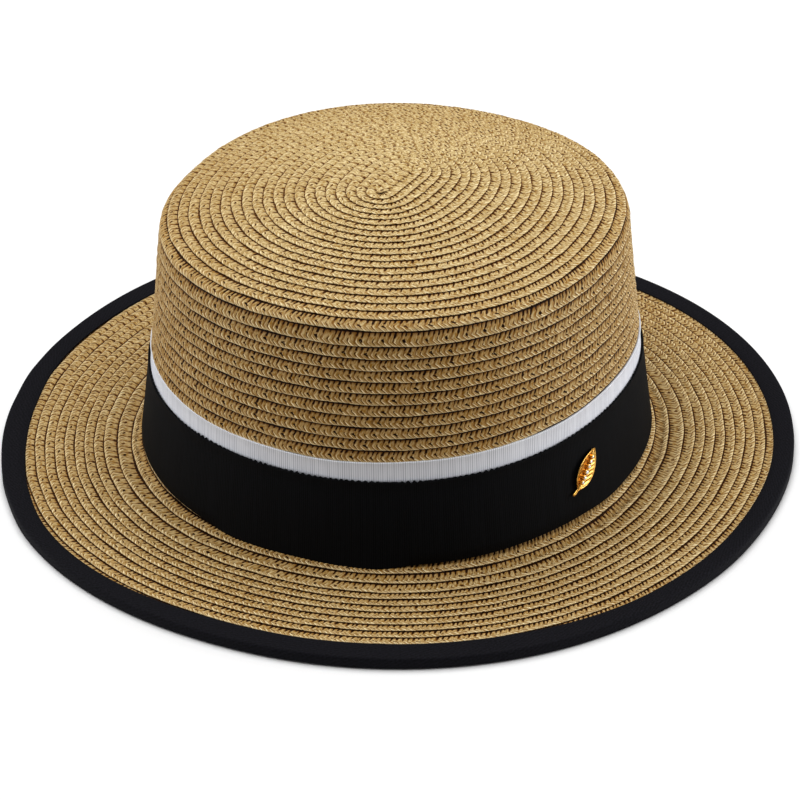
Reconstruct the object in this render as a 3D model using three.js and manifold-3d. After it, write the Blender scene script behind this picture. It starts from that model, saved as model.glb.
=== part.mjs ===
// A flat-crowned straw boater: crown and brim of sewn paper braid, a black ribbon lapped over a
// white one, a black tape bound round the rim, and a small gilt leaf pinned to the ribbon.
// Millimetres, +Z up. The hat rests on its rim at z = 0, the wearer faces -Y and +X is their left.
import * as THREE from 'three';
import { mergeVertices } from 'three/addons/utils/BufferGeometryUtils.js';
import Module from 'manifold-3d';

const wasm = await Module();
wasm.setup();

// ---------------------------------------------------------------- driving sizes
const SEGMENTS = 64;              // flats round every oval ring
const SQUARENESS = 2.13;          // exponent of the head oval: 2 is an ellipse
const SIDE_LIFT = 1.5;            // the crown's foot lies this much higher at the sides, lower front and back

// Outer face of the crown's straw wall at three heights
const CROWN_SECTIONS = [
  { height: 7.0, halfWidth: 91.6, halfLength: 92.8 },    // foot, at the ribbon's lower edge
  { height: 39.5, halfWidth: 87.2, halfLength: 89.0 },   // ribbon's upper edge
  { height: 95.9, halfWidth: 81.2, halfLength: 84.0 },   // top of the wall
];
const [FOOT, WAIST, WALL_TOP] = CROWN_SECTIONS;
const STRAW = 1.6;                // two lapped layers of braid
const PINCH = 1.5;                // the sewn ribbons draw the straw in by this much
const PINCH_FADES = 1.2;          // height above the ribbons over which the straw swells out again
const SHOULDER_RADIUS = 5.5;
const TIP_RISE = 9.7;             // the tip domes above the shoulder
const TIP_RINGS = [0.85, 0.65, 0.4, 0];   // rings of the dome, as shares of its size
const CROWN_GAP = 0.3;            // between the crown's lower edge and the brim's collar

const COLLAR_TOP = 14;            // the brim's upright collar ends here, under the ribbon
const FLARE_RADIUS = 7.3;         // the straw sweeps from collar to brim in this arc
const FLARE_LIFTS = 3;            // height over which the flare takes up the foot's lift
const BRIM_TOP = 3.4;             // height of the brim's upper face where the flare ends
const RIM_OUT = 53.6;             // outside of the binding, from the crown's foot
const RIM_STRAW = 1.6;            // straw pressed thin inside the binding
const RIM_UNDERSIDE = 1.1;        // height of the straw's lower face at the rim

const TAPE = 1.0;                 // thickness of the binding and of each ribbon
const TAPE_GAP = 0.1;             // between the binding and the straw in its fold
const BINDING_ABOVE = 8.8;        // width of the binding on the brim's upper side
const BINDING_BELOW = 9.2;        // width of the binding on its lower side
const BINDING_ROUND = 0.9;        // rounding of the binding's fold

const RIBBON_FACE = 0.8;          // outside of the black ribbon, from the line of the straw wall
const RIBBON_GAP = 0.2;           // between each ribbon and what it lies on
const EDGING_SHOWS = 6.6;         // white ribbon above the black one
const EDGING_LAP = 5;             // white ribbon under the black one

// Gilt leaf, on the wearer's left and a little towards the front
const LEAF_ANGLE = -18;           // degrees round from +X
const LEAF_HEIGHT = 24.6;
const LEAF_TURN = -42;            // degrees, its tip leaning towards the back of the hat
const LEAF_LENGTH = 16;
const LEAF_WIDTH = 8.5;
const LEAF_PLATE = 0.8;
const LEAF_BEVEL = 0.25;
const LEAF_GAP = 0.3;             // between the leaf's back and the ribbon
const STALK_LENGTH = 2.6;
const STALK_BEND = 1.2;           // the stalk's end curves aside by this much
const RIB_RADIUS = 0.85;
const RIB_SUNK = 0.25;            // depth of the midrib's axis in the plate
const RIB_END = 1;                // the midrib stops this far from the leaf's tip
const GIRDLE_SUNK = 0.1;          // a stone's widest ring lies this far below the midrib's crest
const POST_RADIUS = 0.5;
const POST_LENGTH = 7.5;
const POST_HOLE_RADIUS = 0.8;
const CLUTCH_RADIUS = 4;
const CLUTCH_THICKNESS = 2;
const STONE_GAP = 0.12;           // between a stone and its cup in the midrib
const ROUND_SIDES = 12;

// Stones along the midrib: place from the leaf's middle towards its tip, and radius
const STONES = [
  { place: -5.0, radius: 0.6 },
  { place: -3.1, radius: 0.68 },
  { place: -1.0, radius: 0.75 },
  { place: 1.1, radius: 0.68 },
  { place: 3.0, radius: 0.6 },
  { place: 4.7, radius: 0.5 },
];

// ---------------------------------------------------------------- materials
function finish(color, roughness, metalness) {
  return new THREE.MeshStandardMaterial({ color, roughness, metalness });
}

const strawBraid = finish(0xc9a873, 0.75, 0);
const blackRibbon = finish(0x161617, 0.85, 0);
const whiteRibbon = finish(0xe2e2e6, 0.8, 0);
const blackTape = finish(0x222226, 0.85, 0);
const gilt = finish(0xd9a441, 0.22, 1);
const steel = finish(0xb9b9bd, 0.35, 1);
const crystal = finish(0xf2f4f8, 0.05, 0);

// ---------------------------------------------------------------- booleans
function toManifold(geometry) {
  const bare = geometry.clone();
  bare.deleteAttribute('normal');
  bare.deleteAttribute('uv');
  const merged = mergeVertices(bare, 1e-4);
  const index = merged.index.array;
  const corners = [];
  for (let i = 0; i < index.length; i += 3) {
    const [a, b, c] = [index[i], index[i + 1], index[i + 2]];
    if (a !== b && b !== c && c !== a) corners.push(a, b, c);
  }
  return new wasm.Manifold(new wasm.Mesh({
    numProp: 3,
    vertProperties: new Float32Array(merged.attributes.position.array),
    triVerts: new Uint32Array(corners),
  }));
}

function fromManifold(solid) {
  const mesh = solid.getMesh();
  const geometry = new THREE.BufferGeometry();
  geometry.setAttribute('position', new THREE.BufferAttribute(new Float32Array(mesh.vertProperties), 3));
  geometry.setIndex(new THREE.BufferAttribute(new Uint32Array(mesh.triVerts), 1));
  geometry.computeVertexNormals();
  return geometry;
}

// ---------------------------------------------------------------- the head oval
// Half-width or half-length of the straw wall at a height: the parabola through the three sections.
function wallHalf(height, key) {
  const slopeLow = (WAIST[key] - FOOT[key]) / (WAIST.height - FOOT.height);
  const slopeHigh = (WALL_TOP[key] - WAIST[key]) / (WALL_TOP.height - WAIST.height);
  const bend = (slopeHigh - slopeLow) / (WALL_TOP.height - FOOT.height);
  return FOOT[key] + (slopeLow + bend * (height - WAIST.height)) * (height - FOOT.height);
}

// Distance of the squared oval from its centre, next to that of an ellipse traced at the same angle.
function ovalFactor(angle) {
  const c = Math.abs(Math.cos(angle)) ** SQUARENESS;
  const s = Math.abs(Math.sin(angle)) ** SQUARENESS;
  return (c + s) ** (-1 / SQUARENESS);
}

// A place on the hat: out is its distance outside the straw wall, whose size is taken at
// sizeHeight; spread shrinks the oval towards the middle axis; lift is its share of SIDE_LIFT.
function ovalPlace({ out = 0, height, sizeHeight = height, spread = 1, lift = 0 }, angle) {
  const factor = ovalFactor(angle);
  return new THREE.Vector3(
    (wallHalf(sizeHeight, 'halfWidth') * factor + out) * spread * Math.cos(angle),
    (wallHalf(sizeHeight, 'halfLength') * factor + out) * spread * Math.sin(angle),
    height + SIDE_LIFT * lift * Math.cos(2 * angle),
  );
}

// A ring or a cup: a profile of such places turned once round the oval, solid on the profile's left.
// A profile either closes on itself or starts and ends on the axis, with spread 0.
function ovalSolid(profile) {
  const points = profile.map((place, row) => new THREE.Vector2(place.spread === 0 ? 0 : 1, row));
  if (profile[0].spread !== 0) points.push(points[0]);
  const geometry = new THREE.LatheGeometry(points, SEGMENTS);
  const position = geometry.attributes.position;
  for (let i = 0; i < position.count; i++) {
    const angle = Math.atan2(position.getX(i), position.getZ(i));
    const { x, y, z } = ovalPlace(profile[position.getY(i)], angle);
    position.setXYZ(i, x, y, z);
  }
  return toManifold(geometry);
}

// ---------------------------------------------------------------- crown
const RIBBONS_TOP = WAIST.height + EDGING_SHOWS;

// Share of the foot's lift on the wall: whole along the ribbons, none at the top of the wall.
function wallLift(height) {
  return Math.min(1, (WALL_TOP.height - height) / (WALL_TOP.height - RIBBONS_TOP));
}

// Wall, shoulder and domed tip of one face of the crown, inset from the outer face by a depth.
function crownFace(depth) {
  const wallStops = [
    { height: COLLAR_TOP + CROWN_GAP, out: -PINCH },
    { height: (COLLAR_TOP + WAIST.height) / 2, out: -PINCH },
    { height: RIBBONS_TOP + CROWN_GAP, out: -PINCH },
    { height: RIBBONS_TOP + CROWN_GAP + PINCH_FADES, out: 0 },
    { height: (RIBBONS_TOP + WALL_TOP.height) / 2, out: 0 },
    { height: WALL_TOP.height - SHOULDER_RADIUS, out: 0 },
  ];
  const face = wallStops.map(({ height, out }) => ({ height, out: out - depth, lift: wallLift(height) }));

  const tipHalf = (wallHalf(WALL_TOP.height, 'halfWidth') + wallHalf(WALL_TOP.height, 'halfLength')) / 2
    - SHOULDER_RADIUS;
  const tipSlope = Math.atan(2 * TIP_RISE / tipHalf);
  const shoulderTurn = Math.PI / 2 - tipSlope;
  const radius = SHOULDER_RADIUS - depth;
  const centreHeight = WALL_TOP.height - SHOULDER_RADIUS;
  const shoulderSteps = 4;
  for (let step = 1; step <= shoulderSteps; step++) {
    const turn = shoulderTurn * step / shoulderSteps;
    face.push({
      out: radius * Math.cos(turn) - SHOULDER_RADIUS,
      height: centreHeight + radius * Math.sin(turn),
      sizeHeight: WALL_TOP.height,
    });
  }

  const edge = face.at(-1);
  for (const spread of TIP_RINGS) {
    face.push({ ...edge, spread, height: edge.height + TIP_RISE * (1 - spread ** 2) });
  }
  return face;
}

function makeCrown() {
  return ovalSolid([...crownFace(STRAW).reverse(), ...crownFace(0)]);
}

// ---------------------------------------------------------------- brim
// Upper face of the brim from rim to collar when depth is 0, and its lower face when depth is STRAW.
function flareFace(depth) {
  const centre = { out: FLARE_RADIUS - PINCH, height: BRIM_TOP + FLARE_RADIUS };
  const radius = FLARE_RADIUS + depth;
  const steps = 6;
  const face = [];
  for (let step = 0; step <= steps; step++) {
    const turn = Math.PI / 2 * step / steps;
    const height = centre.height - FLARE_RADIUS * Math.cos(turn);
    face.push({
      out: centre.out - radius * Math.sin(turn),
      height: centre.height - radius * Math.cos(turn),
      sizeHeight: Math.max(height, FOOT.height),
      lift: Math.min(1, (height - BRIM_TOP) / FLARE_LIFTS),
    });
  }
  face.push({ out: -PINCH - depth, height: COLLAR_TOP, lift: 1 });
  return face;
}

function makeBrim() {
  const edge = RIM_OUT - TAPE - TAPE_GAP;
  const rim = [
    { out: edge, height: RIM_UNDERSIDE, sizeHeight: FOOT.height },
    { out: edge, height: RIM_UNDERSIDE + RIM_STRAW, sizeHeight: FOOT.height },
  ];
  return ovalSolid([...flareFace(STRAW).reverse(), ...rim, ...flareFace(0)]);
}

// ---------------------------------------------------------------- binding and ribbons
// A tape folded round the rim. Its underside is flat at z = 0, where the hat rests.
function makeBinding() {
  const foldIn = RIM_OUT - TAPE;
  const innerBelow = RIM_OUT - BINDING_BELOW;
  const innerAbove = RIM_OUT - BINDING_ABOVE;
  const foldTop = RIM_UNDERSIDE + RIM_STRAW + TAPE_GAP;
  const topSlope = (BRIM_TOP - RIM_UNDERSIDE - RIM_STRAW) / (RIM_OUT - FLARE_RADIUS);
  const innerTop = foldTop + topSlope * BINDING_ABOVE;
  const outline = [
    [innerBelow, 0],
    [RIM_OUT - BINDING_ROUND, 0],
    [RIM_OUT - BINDING_ROUND * 0.3, BINDING_ROUND * 0.3],
    [RIM_OUT, BINDING_ROUND],
    [RIM_OUT, foldTop + TAPE - BINDING_ROUND],
    [RIM_OUT - BINDING_ROUND * 0.3, foldTop + TAPE - BINDING_ROUND * 0.3],
    [RIM_OUT - BINDING_ROUND, foldTop + TAPE],
    [innerAbove, innerTop + TAPE],
    [innerAbove, innerTop],
    [foldIn, foldTop],
    [foldIn, TAPE],
    [innerBelow, TAPE],
  ];
  return ovalSolid(outline.map(([out, height]) => ({ out, height, sizeHeight: FOOT.height })));
}

// A band of tape round the crown between two heights, its inner face at a distance from the wall line.
function makeBand(low, high, inner, steps) {
  const stops = Array.from({ length: steps + 1 }, (_, step) => low + (high - low) * step / steps);
  const outside = stops.map((height) => ({ out: inner + TAPE, height, lift: 1 }));
  const inside = stops.map((height) => ({ out: inner, height, lift: 1 })).reverse();
  return ovalSolid([...outside, ...inside]);
}

// ---------------------------------------------------------------- the leaf's seat on the ribbon
// Its x runs along the ribbon, its y up the wall and its z straight out of the hat.
function makeLeafSeat() {
  const angle = THREE.MathUtils.degToRad(LEAF_ANGLE);
  const place = (height, turn = angle) => ovalPlace({ out: RIBBON_FACE, height }, turn);
  const along = place(LEAF_HEIGHT, angle + 0.01).sub(place(LEAF_HEIGHT, angle - 0.01)).normalize();
  const up = place(LEAF_HEIGHT + 1).sub(place(LEAF_HEIGHT - 1)).normalize();
  const outward = new THREE.Vector3().crossVectors(along, up).normalize();
  const seat = new THREE.Group();
  seat.position.copy(place(LEAF_HEIGHT));
  const axes = new THREE.Matrix4().makeBasis(along, outward.clone().cross(along), outward);
  seat.quaternion.setFromRotationMatrix(axes);
  seat.updateMatrixWorld(true);
  return seat;
}

// A cylinder along the seat's z, between two distances from the ribbon's face.
function seatCylinder(radius, from, to, x = 0, y = 0) {
  const geometry = new THREE.CylinderGeometry(radius, radius, to - from, ROUND_SIDES);
  geometry.rotateX(Math.PI / 2);
  geometry.translate(x, y, (from + to) / 2);
  return geometry;
}

// ---------------------------------------------------------------- gilt leaf, stones and clutch
const PLATE_BACK = LEAF_GAP;
const PLATE_FRONT = PLATE_BACK + LEAF_PLATE + 2 * LEAF_BEVEL;
const LEAF_AXIS = new THREE.Vector2(
  Math.cos(Math.PI / 2 + THREE.MathUtils.degToRad(LEAF_TURN)),
  Math.sin(Math.PI / 2 + THREE.MathUtils.degToRad(LEAF_TURN)),
);
const RIB_CENTRE = PLATE_FRONT - RIB_SUNK;

// A pointed oval plate lying along +Y, with a bevelled edge.
function leafPlate() {
  const tip = LEAF_LENGTH / 2;
  const side = LEAF_WIDTH / 2 - LEAF_BEVEL;
  const outline = new THREE.Shape();
  outline.moveTo(0, -tip);
  outline.bezierCurveTo(side * 1.5, -tip * 0.55, side * 1.25, tip * 0.35, 0, tip);
  outline.bezierCurveTo(-side * 1.25, tip * 0.35, -side * 1.5, -tip * 0.55, 0, -tip);
  const geometry = new THREE.ExtrudeGeometry(outline, {
    depth: LEAF_PLATE,
    bevelThickness: LEAF_BEVEL,
    bevelSize: LEAF_BEVEL,
    bevelSegments: 2,
    curveSegments: 10,
  });
  geometry.translate(0, 0, PLATE_BACK + LEAF_BEVEL);
  geometry.rotateZ(THREE.MathUtils.degToRad(LEAF_TURN));
  return geometry;
}

// The midrib, a round bar sunk in the plate that runs on past its foot as the stalk.
function leafRib() {
  const foot = -LEAF_LENGTH / 2;
  const bend = new THREE.QuadraticBezierCurve3(
    new THREE.Vector3(-STALK_BEND, foot - STALK_LENGTH, RIB_CENTRE),
    new THREE.Vector3(0, foot, RIB_CENTRE),
    new THREE.Vector3(0, foot + RIB_END, RIB_CENTRE),
  );
  const end = new THREE.Vector3(0, LEAF_LENGTH / 2 - RIB_END, RIB_CENTRE);
  const straight = new THREE.LineCurve3(bend.v2, end);
  const route = new THREE.CurvePath();
  route.add(bend);
  route.add(straight);
  const section = new THREE.Shape();
  section.absarc(0, 0, RIB_RADIUS, 0, 2 * Math.PI);
  const geometry = new THREE.ExtrudeGeometry(section, {
    extrudePath: route,
    steps: 10,
    curveSegments: ROUND_SIDES / 2,
  });
  geometry.rotateZ(THREE.MathUtils.degToRad(LEAF_TURN));
  return geometry;
}

const GIRDLE = RIB_CENTRE + RIB_RADIUS - GIRDLE_SUNK;

function makeLeaf() {
  let leaf = toManifold(leafPlate()).add(toManifold(leafRib()));
  leaf = leaf.add(toManifold(seatCylinder(POST_RADIUS, -POST_LENGTH, PLATE_FRONT - LEAF_BEVEL)));
  for (const { place, radius } of STONES) {
    const { x, y } = LEAF_AXIS.clone().multiplyScalar(place);
    const cup = seatCylinder(radius + STONE_GAP, GIRDLE - radius - STONE_GAP, GIRDLE + 2 * RIB_RADIUS, x, y);
    leaf = leaf.subtract(toManifold(cup));
  }
  return leaf;
}

// A round stone: a flat table, a sloping crown, the girdle and a point below.
function makeStone({ place, radius }) {
  const profile = [[0, -0.85], [1, -0.08], [1, 0.08], [0.58, 0.4], [0, 0.4]];
  const points = profile.map(([r, z]) => new THREE.Vector2(r * radius, z * radius));
  const geometry = new THREE.LatheGeometry(points, ROUND_SIDES);
  geometry.rotateX(Math.PI / 2);
  const { x, y } = LEAF_AXIS.clone().multiplyScalar(place);
  geometry.translate(x, y, GIRDLE);
  return toManifold(geometry);
}

// A plain round clutch that grips the post inside the crown.
function makeClutch() {
  const front = -(RIBBON_FACE + PINCH + STRAW + LEAF_GAP);
  const disc = toManifold(seatCylinder(CLUTCH_RADIUS, front - CLUTCH_THICKNESS, front));
  return disc.subtract(toManifold(seatCylinder(POST_HOLE_RADIUS, front - 2 * CLUTCH_THICKNESS, 0)));
}

// ---------------------------------------------------------------- assembly
const hat = new THREE.Group();
const leafSeat = makeLeafSeat();
hat.add(leafSeat);

function addPiece(name, solid, material, parent = hat) {
  const mesh = new THREE.Mesh(fromManifold(solid), material);
  mesh.name = name;
  parent.add(mesh);
}

const postHoleBar = seatCylinder(POST_HOLE_RADIUS, -POST_LENGTH, POST_LENGTH);
const postHole = toManifold(postHoleBar.applyMatrix4(leafSeat.matrixWorld));
const band = makeBand(FOOT.height, WAIST.height, RIBBON_FACE - TAPE, 4);
const edging = makeBand(WAIST.height - EDGING_LAP, RIBBONS_TOP, RIBBON_GAP - PINCH, 2);

addPiece('crown', makeCrown().subtract(postHole), strawBraid);
addPiece('brim', makeBrim(), strawBraid);
addPiece('brim_binding', makeBinding(), blackTape);
addPiece('ribbon_band', band.subtract(postHole), blackRibbon);
addPiece('ribbon_edging', edging, whiteRibbon);
addPiece('leaf_ornament', makeLeaf(), gilt, leafSeat);
addPiece('pin_clutch', makeClutch(), steel, leafSeat);
STONES.forEach((stone, i) => addPiece(`leaf_stone_${i + 1}`, makeStone(stone), crystal, leafSeat));

export default hat;
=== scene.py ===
from math import atan, cos, pi, radians, sin

import bpy
import numpy as np
from mathutils import Matrix, Vector


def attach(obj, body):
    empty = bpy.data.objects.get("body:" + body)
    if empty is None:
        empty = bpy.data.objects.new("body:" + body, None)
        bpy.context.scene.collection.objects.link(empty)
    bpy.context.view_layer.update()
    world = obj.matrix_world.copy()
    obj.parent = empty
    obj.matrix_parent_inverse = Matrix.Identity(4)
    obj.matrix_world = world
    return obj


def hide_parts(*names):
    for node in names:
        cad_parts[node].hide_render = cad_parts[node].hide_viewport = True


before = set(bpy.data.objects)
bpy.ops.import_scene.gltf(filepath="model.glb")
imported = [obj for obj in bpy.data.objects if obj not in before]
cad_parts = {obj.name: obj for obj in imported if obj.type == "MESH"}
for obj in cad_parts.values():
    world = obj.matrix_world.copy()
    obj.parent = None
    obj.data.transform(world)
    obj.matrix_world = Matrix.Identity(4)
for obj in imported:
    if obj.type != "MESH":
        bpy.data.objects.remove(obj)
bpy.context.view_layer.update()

bl_info = {
    "name": "Straw boater",
    "version": (1, 0, 0),
    "blender": (4, 5, 0),
    "location": "3D View > Sidebar > Boater",
    "description": "A flat-crowned hat of sewn paper braid with ribbons, a bound rim and a leaf pin",
    "category": "Object",
}

MM = 0.001

# ---------------------------------------------------------------- sizes of the hat, as in the CAD model
# Outer face of the crown's wall: height, half width, half length
WALL = np.array([(7.0, 91.6, 92.8), (39.5, 87.2, 89.0), (95.9, 81.2, 84.0)]) * MM
FOOT, WALL_TOP = WALL[0, 0], WALL[-1, 0]
HALF_WIDTH, HALF_LENGTH = 1, 2        # columns of WALL
SQUARENESS = 2.13                     # exponent of the head oval
SIDE_LIFT = 1.5 * MM                  # the foot lies higher at the sides, lower front and back
SHOULDER_RADIUS = 5.5 * MM
TIP_RISE = 9.7 * MM
RIBBONS_TOP = 46.1 * MM
PINCH = 2.0 * MM                      # the ribbons draw the straw in
PINCH_TOP = 43.2 * MM
PINCH_FADES = 1.3 * MM
FLARE_RADIUS = 7.3 * MM
FLARE_SHORT = 1.5 * MM                # it ends this much short of its radius
FLARE_LIFTS = 3.0 * MM                # height over the brim by which the flare has risen at the sides
BRIM_TOP = 3.5 * MM                   # upper face of the brim at the flare
RIM_TOP = 3.2 * MM                    # and at the rim
RIM_OUT = 53.6 * MM                   # outside of the binding, from the crown's foot
RIM_STRAW_OUT = 52.5 * MM             # outside of the straw
# How much narrower the soft rim has set: angle in degrees, millimetres
BRIM_PULL = [(-180, -0.4), (-172, 0.0), (-162, 1.0), (-147, 1.4), (-138, 0.9), (-126, 0.0),
             (-50, 0.0), (-25, 0.5), (-8, 0.0), (12, 0.0), (28, 0.5), (45, 0.8), (75, 0.9),
             (110, 0.0), (150, -0.9), (180, -0.4)]
FRONT_WAVE = 0.3 * MM                 # the soft rim stands off the ground by this much at the front
FRONT_WAVE_ANGLE = radians(-75)
FRONT_WAVE_HALF = radians(32)

# The tip's spiral starts as a straight seam, a little turned and off the middle
SEAM_HALF = 10 * MM
SEAM_TURN = radians(-6)
SEAM_ASIDE = 0.93 * MM
DOME_NORMALS_TO = 70 * MM             # from the middle of the tip, the normals are the dome's own

# Lapped rows: free edge's distance along the meridian from the middle of the tip, in millimetres
ROW_STOPS = np.array([
    # turn, along
    (-5.0, -16.6),
    (-0.75, 0.0),
    (19.3, 78.4),      # edge of the tip
    (20.68, 84.2),     # shoulder
    (21.68, 89.7),
    (22.68, 94.3),     # wall
    (30.68, 127.8),
    (41.68, 177.3),    # foot of the flare
    (43.68, 188.3),
    (50.68, 214.1),    # brim
    (53.4, 224.8),
])
FIRST_TURN, LAST_TURN = -0.15, 53.4

# ---------------------------------------------------------------- small tools


def linear(code):
    """An sRGB hex colour as linear red, green, blue and full alpha."""
    parts = [int(code[i:i + 2], 16) / 255 for i in (1, 3, 5)]
    return tuple(c / 12.92 if c <= 0.04045 else ((c + 0.055) / 1.055) ** 2.4 for c in parts) + (1.0,)


def bump_shape(distance, width):
    """A smooth bump of height 1 at distance 0, falling as a bell of this half width."""
    return np.exp(-(distance / width) ** 2)


def eased(value, low, high):
    """0 up to low, 1 from high on, and a smooth step between."""
    share = np.clip((value - low) / (high - low), 0, 1)
    return share * share * (3 - 2 * share)


def joined(*columns):
    """Arrays or numbers as the columns of a last axis."""
    return np.stack(np.broadcast_arrays(*columns), -1)


def running(steps):
    """The running total of steps, from 0."""
    return np.concatenate([[0], np.cumsum(steps)])


def lengths(route):
    """How far along a route each of its points lies."""
    return running(np.linalg.norm(np.diff(route, axis=0), axis=1))


def unit(vectors):
    """Vectors brought to length 1."""
    return vectors / np.linalg.norm(vectors, axis=-1, keepdims=True)


def full_circle(count):
    """Angles that stand evenly round a circle."""
    return np.linspace(0, 2 * pi, count, endpoint=False)


def between(value, begins, ends):
    """0, easing to 1 within begins and back to 0 within ends."""
    return eased(value, *begins) * (1 - eased(value, *ends))


def smooth_noise(at, rates, size, random):
    """A sum of sines of the given rates, each of this size, with random phases."""
    phases = random.uniform(0, 2 * pi, len(rates))
    return sum(size * np.sin(2 * pi * rate * at + phase) for rate, phase in zip(rates, phases))


# ---------------------------------------------------------------- the guide: the hat's upper face


def wall_half(height, column):
    """Half size of the crown's wall at a height: the parabola through the three sections of WALL."""
    (h0, a0), (h1, a1), (h2, a2) = WALL[:, [0, column]]
    low = (a1 - a0) / (h1 - h0)
    high = (a2 - a1) / (h2 - h1)
    bend = (high - low) / (h2 - h0)
    return a0 + (low + bend * (height - h1)) * (height - h0)


def mean_half(height):
    """Mean of the oval's two half sizes at a height."""
    return (wall_half(height, HALF_WIDTH) + wall_half(height, HALF_LENGTH)) / 2


def oval_factor(angle):
    """The squared oval's distance from its centre, next to an ellipse's at the same angle."""
    total = np.abs(np.cos(angle)) ** SQUARENESS + np.abs(np.sin(angle)) ** SQUARENESS
    return total ** (-1 / SQUARENESS)


def hat_meridian():
    """The upper face from the middle of the tip to the rim, as rows of spread, out and height.

    The tip is a parabola of TIP_RISE, the shoulder an arc, the wall straight in height and drawn in
    by PINCH below PINCH_TOP, the flare a quarter circle and the brim a straight line. Along is
    the length of that line at the mean of the oval's two half sizes.
    """
    turn = pi / 2 - atan(2 * TIP_RISE / (mean_half(WALL_TOP) - SHOULDER_RADIUS))
    centre = WALL_TOP - SHOULDER_RADIUS
    tip_out = SHOULDER_RADIUS * (cos(turn) - 1)
    tip_edge = centre + SHOULDER_RADIUS * sin(turn)
    spread = np.linspace(0, 1, 60)
    tip = joined(spread, tip_out, tip_edge + TIP_RISE * (1 - spread ** 2))
    bend = np.linspace(turn, 0, 24)[1:]
    shoulder = joined(1, SHOULDER_RADIUS * (np.cos(bend) - 1), centre + SHOULDER_RADIUS * np.sin(bend))
    height = np.linspace(centre, BRIM_TOP + FLARE_RADIUS, 160)[1:-1]
    drawn_in = PINCH * (1 - eased(height, PINCH_TOP, PINCH_TOP + PINCH_FADES))
    wall = joined(1, -drawn_in, height)
    bend = np.linspace(pi / 2, 0, 40)
    flare_out = FLARE_RADIUS * (1 - np.sin(bend)) - FLARE_SHORT - (PINCH - FLARE_SHORT) * np.sin(bend)
    flare = joined(1, flare_out, BRIM_TOP + FLARE_RADIUS * (1 - np.cos(bend)))
    out = np.linspace(flare_out[-1], RIM_STRAW_OUT, 60)[1:]
    fall = (RIM_TOP - BRIM_TOP) * (out - flare_out[-1]) / (RIM_STRAW_OUT - flare_out[-1])
    brim = joined(1, out, BRIM_TOP + fall)
    rows = np.concatenate([tip, shoulder, wall, flare, brim])
    reach = rows[:, 0] * rows[:, 1] + rows[:, 0] * mean_half(np.clip(rows[:, 2], FOOT, WALL_TOP))
    along = running(np.hypot(np.diff(reach), np.diff(rows[:, 2])))
    return along, rows, tip_out, tip_edge


ALONG, MERIDIAN, TIP_OUT, TIP_EDGE = hat_meridian()
TIP_HALVES = [wall_half(WALL_TOP, column) + TIP_OUT for column in (HALF_WIDTH, HALF_LENGTH)]


def front_wave(angle, out):
    """Height that the soft rim gains near the front: a flat-topped bell round the oval, growing outwards."""
    away = (angle - FRONT_WAVE_ANGLE + pi) % (2 * pi) - pi
    return FRONT_WAVE * np.exp(-(away / FRONT_WAVE_HALF) ** 4) * np.clip(out / RIM_OUT, 0, 1) ** 2


def side_lift(height):
    """Share of SIDE_LIFT: whole along the ribbons, none at the top of the wall and on the flat brim."""
    above = np.clip((WALL_TOP - height) / (WALL_TOP - RIBBONS_TOP), 0, 1)
    return above * np.clip((height - BRIM_TOP) / FLARE_LIFTS, 0, 1)


def oval_point(angle, out, height, spread=1.0):
    """X and Y of a point of the hat: the oval's half sizes at a height plus out, times spread, at an angle."""
    size = np.clip(height, FOOT, WALL_TOP)
    out = out - round_the_hat(angle, BRIM_PULL) * MM * np.clip(out / RIM_OUT, 0, 1)
    factor = oval_factor(angle)
    x = (wall_half(size, HALF_WIDTH) * factor + out) * spread * np.cos(angle)
    y = (wall_half(size, HALF_LENGTH) * factor + out) * spread * np.sin(angle)
    return x, y


def guide(along, angle):
    """A point of the upper face, a distance along its meridian from the middle of the tip.

    A negative distance lies across the middle. Inside the tip the rings are stretched along Y by
    SEAM_HALF (1 - spread)^1.5, turned by SEAM_TURN (1 - spread)^2 and moved aside by SEAM_ASIDE,
    and lie on the tip's dome.
    """
    spread, out, height = (np.interp(np.abs(along), ALONG, column) for column in MERIDIAN.T)
    x, y = oval_point(angle, out, height, spread * np.sign(along))
    inside = 1 - spread
    narrow = 0.2 + 0.8 * spread
    toward = np.sin(angle) / np.sqrt(np.sin(angle) ** 2 + (narrow * np.cos(angle)) ** 2)
    y = y + SEAM_HALF * inside ** 1.5 * toward
    turn = SEAM_TURN * inside ** 2
    x, y = x * np.cos(turn) - y * np.sin(turn), x * np.sin(turn) + y * np.cos(turn)
    x = x + SEAM_ASIDE * inside ** 2
    share = (np.abs(x / TIP_HALVES[0]) ** SQUARENESS + np.abs(y / TIP_HALVES[1]) ** SQUARENESS)
    dome = TIP_EDGE + TIP_RISE * (1 - share ** (2 / SQUARENESS))
    wall = height + SIDE_LIFT * side_lift(height) * np.cos(2 * angle) + front_wave(angle, out)
    return joined(x, y, np.where(spread < 1, dome, wall))


def guide_normal(along, angle):
    """Outward unit normal of the guide: crossed differences, and the dome's own slope on the tip."""
    step = 0.2 * MM
    down = guide(along + step, angle) - guide(along - step, angle)
    round_it = guide(along, angle + 0.002) - guide(along, angle - 0.002)
    crossed = np.cross(down, round_it)
    middle = guide(along, angle)
    slope = [2 * TIP_RISE * middle[..., k] / TIP_HALVES[k] ** 2 for k in (0, 1)]
    on_dome = (np.abs(along) < DOME_NORMALS_TO)[..., None]
    return unit(np.where(on_dome, joined(*slope, 1), crossed))


# ---------------------------------------------------------------- meshes


def quads_between(rows, ring, wrap):
    """Corner numbers of the quads of a grid of rows, each row a closed ring; wrap joins last to first."""
    row = np.arange(rows if wrap else rows - 1)[:, None]
    place = np.arange(ring)[None, :]
    following = (row + 1) % rows
    beside = (place + 1) % ring
    corners = [row * ring + place, following * ring + place, following * ring + beside, row * ring + beside]
    return joined(*corners).reshape(-1, 4)


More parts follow.
